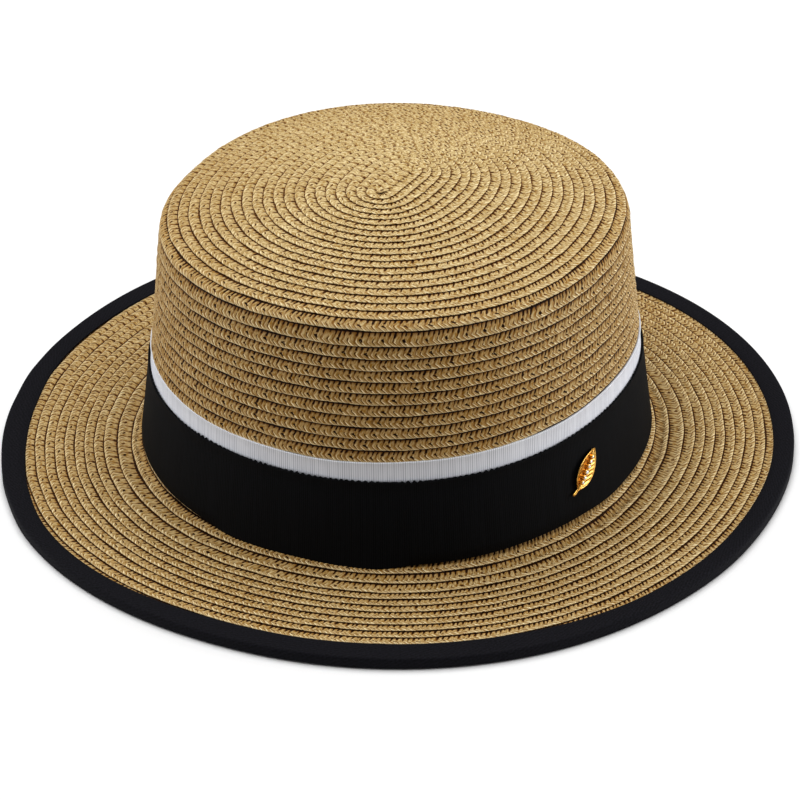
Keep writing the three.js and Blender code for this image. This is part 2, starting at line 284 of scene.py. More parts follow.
def signed_volume(points, quads):
    """Six times the volume inside the quads, positive when they face outwards."""
    a, b, c, d = (points[quads[:, k]] for k in range(4))
    return (np.einsum("ij,ij->i", a, np.cross(b, c)) + np.einsum("ij,ij->i", a, np.cross(c, d))).sum()


class Tube:
    """A closed surface of rings of points: rows x ring x 3, with flat caps unless it wraps.

    uv is rows x ring x 2, and marks is a dict of rows x ring values.
    """

    def __init__(self, rings, wrap=False, uv=None, marks=None):
        rows, ring = rings.shape[:2]
        self.points = rings.reshape(-1, 3)
        quads = quads_between(rows, ring, wrap)
        inside_out = signed_volume(self.points, quads) < 0
        if inside_out:
            quads = quads[:, ::-1]
        self.corners = quads.reshape(-1)
        self.sizes = np.full(len(quads), 4)
        if not wrap:
            first, last = np.arange(ring), np.arange(ring) + (rows - 1) * ring
            caps = [first[::-1], last] if inside_out else [first, last[::-1]]
            self.corners = np.concatenate([self.corners, *caps])
            self.sizes = np.append(self.sizes, [ring, ring])
        self.uv = np.zeros((rows * ring, 2)) if uv is None else uv.reshape(-1, 2)
        self.marks = {
            key: np.broadcast_to(value, (rows, ring)).reshape(-1) for key, value in (marks or {}).items()}


def make_piece(name, tubes, material):
    """One object at the origin from closed surfaces, with a UV map and the marks as attributes."""
    offsets = np.cumsum([0] + [len(tube.points) for tube in tubes[:-1]])
    points = np.concatenate([tube.points for tube in tubes])
    corners = np.concatenate([tube.corners + offset for tube, offset in zip(tubes, offsets)])
    sizes = np.concatenate([tube.sizes for tube in tubes])
    mesh = bpy.data.meshes.new(name)
    mesh.vertices.add(len(points))
    mesh.vertices.foreach_set("co", points.astype(np.float32).ravel())
    mesh.loops.add(len(corners))
    mesh.loops.foreach_set("vertex_index", corners.astype(np.int32))
    mesh.polygons.add(len(sizes))
    mesh.polygons.foreach_set("loop_start", (np.cumsum(sizes) - sizes).astype(np.int32))
    uv = np.concatenate([tube.uv for tube in tubes])[corners]
    mesh.uv_layers.new(name="weave").data.foreach_set("uv", uv.astype(np.float32).ravel())
    for key in tubes[0].marks:
        values = np.concatenate([tube.marks[key] for tube in tubes])
        layer = mesh.attributes.new(key, "FLOAT", "POINT")
        layer.data.foreach_set("value", values.astype(np.float32))
    mesh.polygons.foreach_set("use_smooth", np.full(len(sizes), True))
    mesh.update(calc_edges=True)
    if mesh.validate():
        raise RuntimeError(f"{name} has faces that Blender refuses")
    mesh.materials.append(material)
    piece = bpy.data.objects.new(name, mesh)
    bpy.context.scene.collection.objects.link(piece)
    return piece


def place_piece(piece, node):
    """The piece rides on the hat and stands for a CAD node, which is hidden."""
    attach(piece, "root")
    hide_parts(node)


# ---------------------------------------------------------------- materials
# Point attributes of the braid that its material reads; shadow and depth say how much painted shade the straw
# gets
MARKS = ("shadow", "depth", "tint", "whole_gap", "half_gap", "hole", "arms")
TAPE_UV_UNIT = 10 * MM                # the tapes' UV maps count lengths of this


def add(tree, kind, inputs=None, **settings):
    """Adds a node with its settings; an input is linked when its value is a Value, and set otherwise."""
    node = tree.nodes.new(kind)
    for key, value in settings.items():
        setattr(node, key, value)
    for key, value in (inputs or {}).items():
        if isinstance(value, Value):
            tree.links.new(value.socket, node.inputs[key])
        else:
            node.inputs[key].default_value = value
    return node


class Value:
    """What an output of a material's node gives. Arithmetic with it adds Math nodes."""

    def __init__(self, node, output=0):
        self.tree, self.socket = node.id_data, node.outputs[output]

    def math(self, operation, *others):
        """One Math node, with this value first."""
        return Value(add(self.tree, "ShaderNodeMath", dict(enumerate((self, *others))), operation=operation))

    def __add__(self, other):
        return self.math("ADD", other)

    def __sub__(self, other):
        return self.math("SUBTRACT", other)

    def __mul__(self, other):
        return self.math("MULTIPLY", other)

    def __abs__(self):
        return self.math("ABSOLUTE")

    def most(self, other):
        """The larger of two."""
        return self.math("MAXIMUM", other)

    def least(self, other):
        """The smaller of two."""
        return self.math("MINIMUM", other)

    def eased(self, low, high, at_low=0.0, at_high=1.0):
        """A smooth step from at_low to at_high as the value goes from low to high."""
        inputs = {"Value": self, "From Min": low, "From Max": high, "To Min": at_low, "To Max": at_high}
        return Value(add(self.tree, "ShaderNodeMapRange", inputs, interpolation_type="SMOOTHSTEP"))

    def faded(self, low, high):
        """A smooth step from 1 to 0 as the value goes from low to high."""
        return self.eased(low, high, 1.0, 0.0)


class Surface:
    """A material with one Principled shader."""

    def __init__(self, name, **settings):
        self.material = bpy.data.materials.new(name)
        self.material.use_nodes = True
        self.tree = self.material.node_tree
        self.tree.nodes.clear()
        inputs = {key.replace("_", " "): value for key, value in settings.items()}
        self.shader = add(self.tree, "ShaderNodeBsdfPrincipled", inputs)
        add(self.tree, "ShaderNodeOutputMaterial", {"Surface": Value(self.shader)})

    def link(self, name, value):
        """Gives one of the shader's inputs a value."""
        self.tree.links.new(value.socket, self.shader.inputs[name])

    def place(self):
        """Object coordinates, in metres."""
        return Value(add(self.tree, "ShaderNodeTexCoord"), "Object")

    def weave(self):
        """The piece's own UV map."""
        return Value(add(self.tree, "ShaderNodeUVMap", uv_map="weave"))

    def mark(self, name):
        """One of the piece's point attributes."""
        return Value(add(self.tree, "ShaderNodeAttribute", attribute_name=name), "Fac")

    def mapped(self, at, **settings):
        """Coordinates stretched or turned."""
        return Value(add(self.tree, "ShaderNodeMapping", {"Vector": at, **settings}))

    def texture(self, kind, at, scale, output="Fac", **settings):
        """A texture's value at some coordinates."""
        return Value(add(self.tree, f"ShaderNodeTex{kind}", {"Vector": at, "Scale": scale, **settings}), output)

    def mixed(self, share, first, second):
        """A colour between two, by a share that is a number or a value."""
        return Value(add(self.tree, "ShaderNodeMix", {0: share, 6: first, 7: second}, data_type="RGBA"), 2)

    def bump(self, height, strength, distance, **settings):
        """Presses a height into the shader's normals."""
        inputs = {"Strength": strength, "Distance": distance, "Height": height}
        self.link("Normal", Value(add(self.tree, "ShaderNodeBump", inputs, **settings)))


def paper_braid(settings):
    """Plait of twisted paper, lightly starched: satin strands, brown shade in the laps and gaps.

    The UV map counts cells of the plait along the strip, and the share of the row's pitch inward from
    its free edge. Dark gaps part the strands at each whole cell, and near the lap at each half cell.
    """
    look = Surface("twisted_paper_braid", Roughness=0.62, IOR=1.45, Specular_IOR_Level=0.18)
    shadow, depth, tint, whole_gap, half_gap, hole, arms = (look.mark(name) for name in MARKS)
    weave, solid = look.weave(), look.place()
    parts = add(look.tree, "ShaderNodeSeparateXYZ", {"Vector": weave})
    along, row = Value(parts, "X"), Value(parts, "Y")
    # The strands are uneven: their borders stray by up to a tenth of a cell
    along = along + (look.texture("Noise", solid, 650.0, Detail=2.0) * 0.24 - 0.12)
    # Signed distances along the strip from the nearest whole cell and half cell, in millimetres
    cell = settings.cell_length / MM
    from_whole = (along + 0.5).math("FRACT") * cell - cell / 2
    from_half = along.math("FRACT") * cell - cell / 2
    to_whole, to_half = abs(from_whole), abs(from_half)
    # Gaps: lines to the free edge, and notches towards the lap that are longer where half_gap is larger
    near_lap = row.eased(0.45, 0.8)
    line = to_whole.faded(0.05, (near_lap * 0.34 + 0.34) * whole_gap)
    line = line * (near_lap * (arms * -0.4 + 1.0)).most(arms * 0.75)
    begins = half_gap * -0.37 + 0.93
    notch = to_half.faded(0.08, half_gap * 0.14 + 0.42) * row.eased(begins, begins + 0.2) * half_gap.least(1.0)
    # The wall's petals are split again by a fainter line below the notch
    split = to_half.eased(0.04, 0.3, 0.6, 0.0) * row.eased(0.08, 0.2) * row.faded(0.45, 0.6)
    notch = notch.most(split * depth)
    # Small slanting holes in the middle of every second cell
    up = row * 4.0 - 1.55
    aside = from_half - up * 0.9
    pit = (aside * aside + up * up * 1.6).math("SQRT").faded(0.4, 0.7) * hole
    # Painted shade: the lap lies dark under the next row's edge, less so between the strands' ends
    lap = row.eased(0.84, 0.96) * to_whole.least(to_half).eased(0.1, 0.7, 1.0, 0.55) * (depth + 0.4)
    # Painted shade: these gaps, notches, holes and laps are darkened in colour below, as shade that falls into
    # them, by as much as depth says
    gaps = line.most(notch).most(pit).most(lap)
    # Painted shade: strands are round, so they shade off towards their gaps, and the rows darken towards the
    # lap
    round_off = (to_whole.faded(0.1, 0.9) * whole_gap * 0.5).most(row.eased(0.6, 1.0, 0.0, 0.3))
    # Fibres of the paper's twist, along the strand, and batches of paper
    fibres = look.texture("Noise", look.mapped(weave, Scale=(9, 3, 1)), 1.0, Detail=4.0).eased(0.38, 0.6)
    batches = look.texture("Noise", solid, 28.0, Detail=2.0)
    # Painted highlights where the strands roll up beside each line, in the half of the row next to the free
    # edge, and along the free edge itself
    rolls = [beside.eased(-0.85, -0.55) * beside.faded(-0.45, -0.25) for beside in (from_whole, from_half)]
    roll = rolls[0].most(rolls[1] * depth) * row.faded(0.2, 0.6)
    painted_highlight = roll.most(row.eased(0.06, 0.2, 0.4, 0.0) * depth) * (fibres * 0.7 + 0.3)
    colour = look.mixed(fibres, settings.straw_deep, settings.straw_pale)
    tinted = look.mixed(tint * 0.5 + 0.5, linear("#7d5c28"), linear("#fff0c8"))
    colour = look.mixed(0.16, colour, tinted)
    # The strands' own batches, then painted light: painted shade on the rounded strands, the shaded gold of the
    # wall and brim, painted highlights, and the gaps' painted shade, brown at its borders, as light passes
    # through the paper there, and dark in the middle
    for share, other in ((batches * 0.5 - 0.1, settings.straw_deep),
                         (round_off, settings.straw_round_shade),
                         (depth * 0.64 - 0.177, settings.straw_shaded_gold),
                         (painted_highlight, settings.straw_highlight),
                         (gaps.most(shadow).eased(0.0, 0.6), settings.straw_shade_border),
                         (gaps.eased(0.3, 0.9) * (depth * 0.6 + 0.4), settings.straw_shade)):
        colour = look.mixed(share, colour, other)
    look.link("Base Color", colour)
    look.bump(fibres * 0.4 - gaps, 0.6, 0.2 * MM)
    return look.material


def grosgrain(name, face, groove_shade):
    """Ribbed ribbon: fine upright ribs of uneven depth, with painted shade in the grooves between them, matt,
    with a thread's grain along it.
    """
    look = Surface(name, Roughness=0.82, IOR=1.5, Specular_IOR_Level=0.12)
    weave = look.weave()
    along = Value(add(look.tree, "ShaderNodeSeparateXYZ", {"Vector": weave}))
    uneven = look.texture("Noise", look.mapped(weave, Scale=(8, 0.4, 1)), 1.0, Detail=3.0)
    grooves = (along * (2 * pi * TAPE_UV_UNIT / RIB_PITCH)).math("SINE").eased(-0.4, 0.9)
    grooves = grooves * uneven.eased(0.3, 0.6, 0.3, 1.0)
    # Painted shade: the grooves between the ribs take the darker colour, besides being pressed in by the bump
    look.link("Base Color", look.mixed(grooves, face, groove_shade))
    look.bump(grooves, 0.25, 0.1 * MM, invert=True)
    return look.material


def twill_tape(settings):
    """Cotton twill tape: matt black with faint diagonal ribs 1.2 mm apart, painted darker as shade in their
    grooves, and slubs of the yarn.
    """
    look = Surface("black_twill_tape", Roughness=0.85, IOR=1.5, Specular_IOR_Level=0.2)
    weave = look.weave()
    ribs = look.texture("Wave", look.mapped(weave, Rotation=(0, 0, radians(60))), 2.6, Distortion=2.0)
    slubs = look.texture("Noise", weave, 14.0, Detail=4.0).eased(0.4, 0.6)
    cloth = look.mixed(0.6, ribs, slubs)
    # Painted shade in the twill's grooves, mixed with the yarn's own uneven tone in the slubs
    look.link("Base Color", look.mixed(cloth, settings.tape_groove_shade_and_slubs, settings.tape_colour))
    look.bump(cloth, 0.3, 0.1 * MM)
    return look.material


def polished_gilt(settings):
    """Gold-plated alloy: warm mirror, a little worn and scratched."""
    look = Surface("gold_plate", Metallic=1.0)
    wear = look.texture("Noise", look.place(), 700.0, Detail=4.0)
    look.link("Base Color", look.mixed(wear, settings.gilt_colour, linear("#f4cf84")))
    look.link("Roughness", wear * 0.3 + 0.12)
    return look.material


def cut_crystal():
    """Cut lead crystal: clear and bright, with facets and a foiled back that return the light."""
    look = Surface("foiled_crystal", Base_Color=linear("#ffffff"), Roughness=0.04, IOR=1.7, Metallic=0.3)
    look.bump(look.texture("Voronoi", look.place(), 1900.0, "Distance"), 1.0, 0.25 * MM)
    return look.material


def plated_steel():
    """Stamped steel, nickel plated: grey satin metal, a little uneven."""
    look = Surface("nickel_plated_steel", Base_Color=linear("#c0c0c4"), Metallic=1.0)
    look.link("Roughness", look.texture("Noise", look.place(), 900.0) * 0.2 + 0.25)
    return look.material


# ---------------------------------------------------------------- the sewn braid
# A strip's section, from its tucked inner edge over the top to its free edge and back under: millimetres
# inward from the free edge as a share of the lap's pitch plus a part of its own, and height over the guide.
RING = 9
TUCKED, UPPER, TEETH, HOLES, STRAND, CREST, ROUND, NOSE, UNDER = range(RING)
RING_PITCH = np.array([1.0, 1.0, 0.5, 0, 0, 0, 0, 0, 1.0])
RING_INWARD = np.array([1.2, -0.25, 0.75, 1.65, 1.2, 0.65, 0.2, 0.0, -0.25]) * MM
RING_HEIGHT = np.array([-0.26, -0.14, 0.02, 0.10, 0.24, 0.32, 0.24, 0.04, -0.75]) * MM
RING_SHADE = np.array([1.0, 0.1, 0.0, 0.0, 0.0, 0.0, 0.0, 0.0, 0.5])
WALL_SHADE = 0.38                     # what UPPER gains on the crown's wall, in the shade of the edge above
# How deep the plait's dents press the ring in, in millimetres: at its gaps, along its strands, at its holes
GAP_PRESS = {UPPER: 0.28, TEETH: 0.36, HOLES: 0.22}
STRAND_PRESS = {STRAND: 0.15, CREST: 0.17, ROUND: 0.1}
HOLE_PRESS = 0.25
WHOLE_WIDE, HALF_WIDE, HOLE_WIDE = 0.38 * MM, 0.33 * MM, 0.36 * MM    # half widths of the dents
SCALLOP, TIP_SCALLOP = 0.17 * MM, 0.15 * MM    # notches in the free edge, and what they gain on the tip
START_RISE = np.array([0.24, 0.36, 0.24]) * MM    # of TUCKED, UPPER and TEETH, at the very start
LEAN_TO_EDGE, LEAN_TO_LAP = 1.8 * MM, 0.8 * MM    # how far the strands lean along the strip
TIP_ENDS, WALL_BEGINS, WALL_ENDS = (18, 20.5), (20.2, 21), (41, 43)    # turns between which they fade
SHADE_BEGINS, SHADE_ENDS = (20.6, 21.6), (40.5, 42)

# How uneven the plait is, cell by cell: factors of its length, gaps and holes, the place of the half gap as a
# share of the cell, and the spread of its height and of its tint
CELL_FACTORS, WHOLE_FACTORS, HALF_FACTORS, HOLE_FACTORS = (0.82, 1.18), (0.65, 1.15), (0.55, 1.15), (0.55, 1.1)
HALF_PLACES = (0.4, 0.6)
SWELL, TINT = 0.04, 0.6               # in millimetres, and on a scale from -1 to 1 between the two tints

# How open the plait of the tip and the brim lies: angle in degrees, whole gaps, half gaps, holes, and
# how dark the whole gaps stay on their way to the free edge
OPENNESS = np.array([
    (-180, 1.2, 0.3, 0.4, 0.95),
    (-148, 1.1, 0.5, 0.8, 0.55),
    (-120, 0.9, 0.8, 1.0, 0.15),
    (-75, 1.0, 0.9, 1.0, 0.15),
    (-30, 1.0, 1.15, 0.6, 0.3),
    (20, 1.0, 1.0, 0.5, 0.5),
    (90, 1.2, 1.0, 0.8, 0.7),
    (180, 1.2, 0.3, 0.4, 0.95),
])
WALL_OPENNESS = (1.0, 1.25, 1.0, 0.42)     # the wall's, all round
TIP_OPENNESS = (0.9, 0.7, 0.8, 0.5)        # the tip's, next to the brim's
# How deep the gaps lie, and so how much painted shade they take; it also sets the shaded gold tone and the
# painted highlights: turn, share
GAP_SHADE = np.array([
    (0, 0.1), (4, 0.25), (12, 0.4), (19.5, 0.6), (21.5, 1.0), (41.5, 1.0), (44, 0.76), (53, 0.76)])
# and what multiplies that, as the front lies more in shade and is painted darker: angle in degrees, factor
FRONT_SHADE = [(-180, 0.96), (-125, 1.0), (-95, 1.11), (-45, 1.11), (-10, 1.0), (20, 0.96), (180, 0.96)]


def round_the_hat(angle, table):
    """A value that eases from row to row of a table of angle in degrees and value, round the oval."""
    degrees, values = np.array(table, float).T
    at = np.interp((np.degrees(angle) + 180) % 360 - 180, degrees, np.arange(len(degrees)))
    row = np.minimum(at.astype(int), len(degrees) - 2)
    return values[row] + (values[row + 1] - values[row]) * eased(at - row, 0, 1)


def edge_along(turn):
    """Distance of the free edge along the meridian, from ROW_STOPS."""
    return np.interp(turn, ROW_STOPS[:, 0], ROW_STOPS[:, 1]) * MM


def turn_angle(turn):
    """Angle round the hat at a turn of the spiral, which starts at -X and winds clockwise from above."""
    return pi - 2 * pi * turn


def edge_wander(turn, random):
    """Sewn rows wander by a few tenths of a millimetre."""
    rates = random.uniform([6, 10, 15, 22, 31], [9, 14, 21, 30, 41])
    return smooth_noise(turn, rates, 0.055 * MM, random) * eased(turn, 0.5, 2)


class Braid:
    """The one long strip: cells of its plait along the spiral, and where their columns lie."""

    def __init__(self, settings):
        random = np.random.default_rng(26)
        wander_seed = int(random.integers(1 << 30))
        self.wander = lambda turn: edge_wander(turn, np.random.default_rng(wander_seed))
        turns = np.linspace(FIRST_TURN - 0.1, LAST_TURN + 0.1, 120000)
        route = guide(edge_along(turns) - 2 * MM, turn_angle(turns))
        self.turns, self.length = turns, lengths(route)
        self.per_turn = np.gradient(self.length, turns)
        cell = settings.cell_length
        count = int((self.at(LAST_TURN) - self.at(FIRST_TURN)) / cell) + 20
        sizes = cell * random.uniform(*CELL_FACTORS, count)
        self.starts = self.at(FIRST_TURN) + running(sizes)
        count += 1
        turn = np.interp(self.starts, self.length, turns)
        on_wall = between(turn, WALL_BEGINS, WALL_ENDS)
        on_tip = 1 - eased(turn, *TIP_ENDS)
        whole, half, hole, self.arms = (
            (round_the_hat(turn_angle(turn), OPENNESS[:, [0, column + 1]]) * (1 - on_wall) + on_wall * wall)
            * (1 - (1 - tip) * on_tip)
            for column, (wall, tip) in enumerate(zip(WALL_OPENNESS, TIP_OPENNESS)))
        self.half_gap = half * random.uniform(*HALF_FACTORS, count)
        self.half_place = random.uniform(*HALF_PLACES, count)
        self.whole_gap = whole * random.uniform(*WHOLE_FACTORS, count)
        self.swell = random.normal(0, SWELL, count) * MM
        self.tint = random.normal(0, TINT, (count, 2))
        self.hole = np.where(np.arange(count) % 2 == 0, hole * random.uniform(*HOLE_FACTORS, count), 0.0)

    def at(self, turn):
        """Length along the strip at a turn."""
        return np.interp(turn, self.turns, self.length)

    def cells(self, start, stop):
        """First and last cell boundary of the stretch between two turns."""
        return [int(np.searchsorted(self.starts, self.at(turn))) for turn in (start, stop)]


def braid_piece(braid, name, start, stop, columns, material):
    """One stretch of the lapped strip, between two turns of the spiral, with its plait in relief.

    Column by column along the strip, the ring of RING points is set inward from the free edge and out
    from the guide. Gaps between the teeth press the ring in at every cell and half cell, holes at
    every second cell, and the strands lean towards the free edge and back again towards the lap.
    """
    first, last = braid.cells(start, stop)
    cell = np.repeat(np.arange(first, last), columns)
    phase = np.tile(np.arange(columns) / columns, last - first)
    cell, phase = np.append(cell, last), np.append(phase, 0.0)
    begin = braid.starts[cell]
    size = braid.starts[cell + 1] - begin
    turn = np.interp(begin + phase * size, braid.length, braid.turns)
    before = np.where(phase > 0.5, np.minimum(cell + 1, len(braid.whole_gap) - 1), cell)

    whole = bump_shape(np.minimum(phase, 1 - phase) * size, WHOLE_WIDE) * braid.whole_gap[before]
    middle = (phase - braid.half_place[cell]) * size
    half = bump_shape(middle, HALF_WIDE) * braid.half_gap[cell]
    hole = bump_shape(middle, HOLE_WIDE) * braid.hole[cell]
    gap = np.minimum(whole + half, 1.2)
    low_gap = np.minimum(0.9 * whole + 0.3 * half, 1.1)
    detailed = MM if columns > 1 else 0.0

    pitch = edge_along(turn) - edge_along(turn - 1)
    inward = RING_PITCH * pitch[:, None] + RING_INWARD
    height = RING_HEIGHT + braid.swell[cell][:, None]
    shade = np.tile(RING_SHADE, (len(turn), 1))
    for press, dent in ((GAP_PRESS, gap), (STRAND_PRESS, low_gap), ({HOLES: HOLE_PRESS}, hole)):
        for place, depth in press.items():
            height[:, place] -= depth * dent * detailed
    if detailed:
        scallop = SCALLOP + TIP_SCALLOP * (1 - eased(turn, *TIP_ENDS))
        inward[:, [ROUND, NOSE]] += (scallop * low_gap)[:, None]

    # At the very start the inner edge lies on top, so it is narrower and raised
    tuck = eased(turn, 0.2, 0.6)[:, None]
    inward[:, TUCKED] = pitch + (inward[:, TUCKED] - pitch) * tuck[:, 0]
    height[:, [TUCKED, UPPER, TEETH]] += START_RISE * (1 - tuck)
    shade[:, UPPER] += WALL_SHADE * between(turn, SHADE_BEGINS, SHADE_ENDS)
    shade[:, [TUCKED, UPPER]] *= 0.1 + 0.9 * eased(turn, 0.8, 1.5)[:, None]

    towards_edge = np.clip(1 - inward / RING_INWARD[HOLES], 0, 1)
    towards_lap = np.clip((inward - RING_INWARD[HOLES]) / (2 * MM), 0, 1.5)
    lean = -LEAN_TO_EDGE * towards_edge - LEAN_TO_LAP * towards_lap
    per_turn = np.interp(turn, braid.turns, braid.per_turn)
    ring_turn = turn[:, None] + lean * eased(turn, 0.0, 1.5)[:, None] / per_turn[:, None]
    along = edge_along(ring_turn) + braid.wander(ring_turn) - inward
    angle = turn_angle(ring_turn)
    points = guide(along, angle) + height[..., None] * guide_normal(along, angle)

    # The half cell's gap is drawn at a half, so the phase is bent to bring it there
    half_place = braid.half_place[cell]
    drawn = np.where(phase < half_place, 0.5 * phase / half_place, 1 - 0.5 * (1 - phase) / (1 - half_place))
    row_share = inward / pitch[:, None] * (0.87 + 0.13 * eased(turn, 0.7, 1.3))[:, None]
    uv = joined((cell + drawn)[:, None], row_share)
    # Painted shade: how dark the gaps are drawn here, and how far the straw turns to its shaded gold and takes
    # painted highlights
    depth = np.interp(turn, GAP_SHADE[:, 0], GAP_SHADE[:, 1]) * round_the_hat(turn_angle(turn), FRONT_SHADE)
    tooth = (phase > half_place).astype(int)
    even = (depth, braid.tint[cell, tooth], braid.whole_gap[before], braid.half_gap[cell], braid.hole[cell],
            braid.arms[cell])
    marks = dict(zip(MARKS, [np.clip(shade, 0, 1)] + [values[:, None] for values in even]))
    return make_piece(name, [Tube(points, uv=uv, marks=marks)], material)


# Stretches of the strip: name, last turn, columns to a cell, CAD node that they stand for
BRAID_PIECES = [
    ("tip_braid_inner", 13.75, 8, "crown"),
    ("tip_braid_outer", 20.7, 8, "crown"),
    ("side_braid_upper", 26.2, 8, "crown"),
    ("side_braid_lower", 31.9, 8, "crown"),
    ("covered_braid", 39.3, 1, "crown"),
    ("collar_braid", 41.1, 6, "brim"),
    ("brim_braid_inner", 45.6, 8, "brim"),
    ("brim_braid_middle", 49.8, 8, "brim"),
    ("brim_braid_outer", LAST_TURN, 8, "brim"),
]

# ---------------------------------------------------------------- ribbons and binding


LAP_LENGTH = 12 * MM                 # each tape's end lies over its start at the back
LAP_RISE = 6 * MM                    # and climbs onto it in this length
BACK = pi / 2                        # angle of the back of the hat


def band_tube(profile, columns, lap, waves, on_wall=True):
    """A tape round the hat: a closed section carried round the oval, from the back to the back.

    profile has rows of out, height and across. The tape's end runs on for LAP_LENGTH and rises by lap
    to lie over its start; under the rim the start rises instead, to lie inside the end. waves gives what
    is added to out and height, as a function of the share of the way round, of across and of the angle.
    """
    out, height, across = np.array(profile).T
    share = np.linspace(0, 1, columns)[:, None]
    length = 2 * pi * (WALL[0, HALF_WIDTH] + out.max())
    angle = BACK + 2 * pi * (1 + LAP_LENGTH / length) * share
    over, under = (lap * (1 - eased(part * (length + LAP_LENGTH), LAP_LENGTH, LAP_LENGTH + LAP_RISE))
                   for part in (1 - share, share))
    more_out, more_height = waves(share, across, angle)
    out, height = out + more_out, height + more_height
    if on_wall:
        out = out + over
        lift = SIDE_LIFT * np.cos(2 * angle)
    else:
        out = out + over * np.clip(across - BINDING_BELOW, 0, 1 * MM) / MM
        height = height + over * (across > BINDING_BELOW + 3 * MM)
        height = height + under * (1 - eased(across, BINDING_BELOW - 2 * MM, BINDING_BELOW - 1 * MM))
        lift = front_wave(angle, out)
    points = joined(*oval_point(angle, out, height), height + lift)
    return Tube(points, uv=joined(lengths(points[:, 0])[:, None], across) / TAPE_UV_UNIT)


def ribbon_profile(low, high, inner, outer, steps):
    """A flat tape on the wall, as rows of out, height and across: its outer face from low to high with a
    thin bead woven along its upper edge, then its inner face."""
    round_by = (outer - inner) / 2
    face = [(outer, height) for height in np.linspace(low + round_by, high - SELVEDGE, steps)]
    bead = [(outer + BEAD * out, high - SELVEDGE * down) for out, down in ((0.8, 0.6), (1, 0.25), (0.6, 0))]
    back = [(inner, height) for height in np.linspace(high - round_by, low + round_by, 4)]
    section = face + bead + [(inner + 0.1 * MM, high)] + back + [(inner + round_by, low)]
    return [(out, height, height - low) for out, height in section]


def black_ribbon_waves(random):
    """The lower edge hangs unevenly and rides out on the flare; the upper one is nibbled by the ribs' pull."""
    slow = random.uniform(4, 16, 6)
    edge = random.uniform(180, 340, 8)
    seeds = random.integers(1 << 30, size=3)

    def waves(share, across, angle):
        low_wave, lie, nibble = (
            smooth_noise(share, rates, size, np.random.default_rng(seed))
            for rates, size, seed in ((slow, 0.05 * MM, seeds[0]), (slow * 1.3, 0.04 * MM, seeds[1]),
                                      (edge, 0.1 * MM, seeds[2])))
        at_top = eased(across, BLACK_WIDTH - 0.8 * MM, BLACK_WIDTH)
        low = 1 - np.clip(across / (10 * MM), 0, 1)
        hang = round_the_hat(angle, LOWER_EDGE) * MM * low ** 2
        height = BLACK_LOW + across + hang
        ride = 1.1 * np.clip(FLARE_MEETS - height, 0, None)
        return lie + ride, hang + low_wave + nibble * at_top
    return waves


def white_ribbon_waves(random):
    """The ribbon wanders a little up and down the wall, and rides out at its upper edge."""
    slow = random.uniform(4, 14, 5)
    seed = int(random.integers(1 << 30))

    def waves(share, across, angle):
        upper = eased(across, 6 * MM, 10.5 * MM)
        wander = smooth_noise(share, slow, 0.05 * MM, np.random.default_rng(seed))
        return WHITE_FLARE * upper + 0 * share, wander + round_the_hat(angle, UPPER_EDGE) * MM * upper
    return waves


# Black ribbon over the white one, both round the crown's foot
BLACK_LOW, BLACK_HIGH = 6.4 * MM, 38.0 * MM
# How much higher than BLACK_LOW its lower edge lies: angle in degrees, millimetres
LOWER_EDGE = [(-180, 0.6), (-135, 1.5), (-118, 0.9), (-102, -0.6), (-85, -0.5), (-70, -1.2), (-58, 0.0),
              (-30, 0.4), (-8, -0.7), (20, -0.5), (90, 0.2), (180, 0.6)]
FLARE_MEETS = 6.3 * MM                # below this height the straw curves outwards
BLACK_WIDTH = BLACK_HIGH - BLACK_LOW
BLACK_INNER, BLACK_OUTER = 0.2 * MM, 0.8 * MM
WHITE_LOW, WHITE_HIGH = 33.5 * MM, 45.0 * MM
WHITE_INNER, WHITE_OUTER = -0.6 * MM, 0.05 * MM
WHITE_FLARE = 0.4 * MM                # its upper edge rides on the straw above the ribbons
# How much higher than WHITE_HIGH it lies: angle in degrees, millimetres
UPPER_EDGE = [(-180, 0.0), (-80, 0.0), (-55, 0.4), (-15, 0.4), (20, 0.0), (180, 0.0)]
SELVEDGE, BEAD = 0.8 * MM, 0.22 * MM  # width and rise of the bead along a ribbon's upper edge
RIB_PITCH = 0.78 * MM
RIBBON_COLUMNS, RIM_COLUMNS = 1000, 480
RIBBON_LAP, RIM_LAP = 0.7 * MM, 0.5 * MM    # how far each tape's end rises over its start
BLACK_ROUND, WHITE_ROUND, RIM_ROUND = 0.58, 0.56, 0.905    # lengths round the hat, in metres

# The binding folded round the rim
TAPE = 0.6 * MM
BINDING_BELOW = 9.2 * MM
BINDING_ABOVE = 9.6 * MM
BINDING_TOP = 4.2 * MM
BINDING_CREASE = 0.9 * MM             # the fold's rounding at the top
# How much narrower it shows on the brim than BINDING_ABOVE: angle in degrees, millimetres
NARROWER = [(-180, 1.5), (-155, 0.1), (-120, 2.7), (-85, 0.8), (-52, 0.4), (-25, 2.6), (5, 2.3), (40, 1.3),
            (120, 0.6), (180, 1.5)]


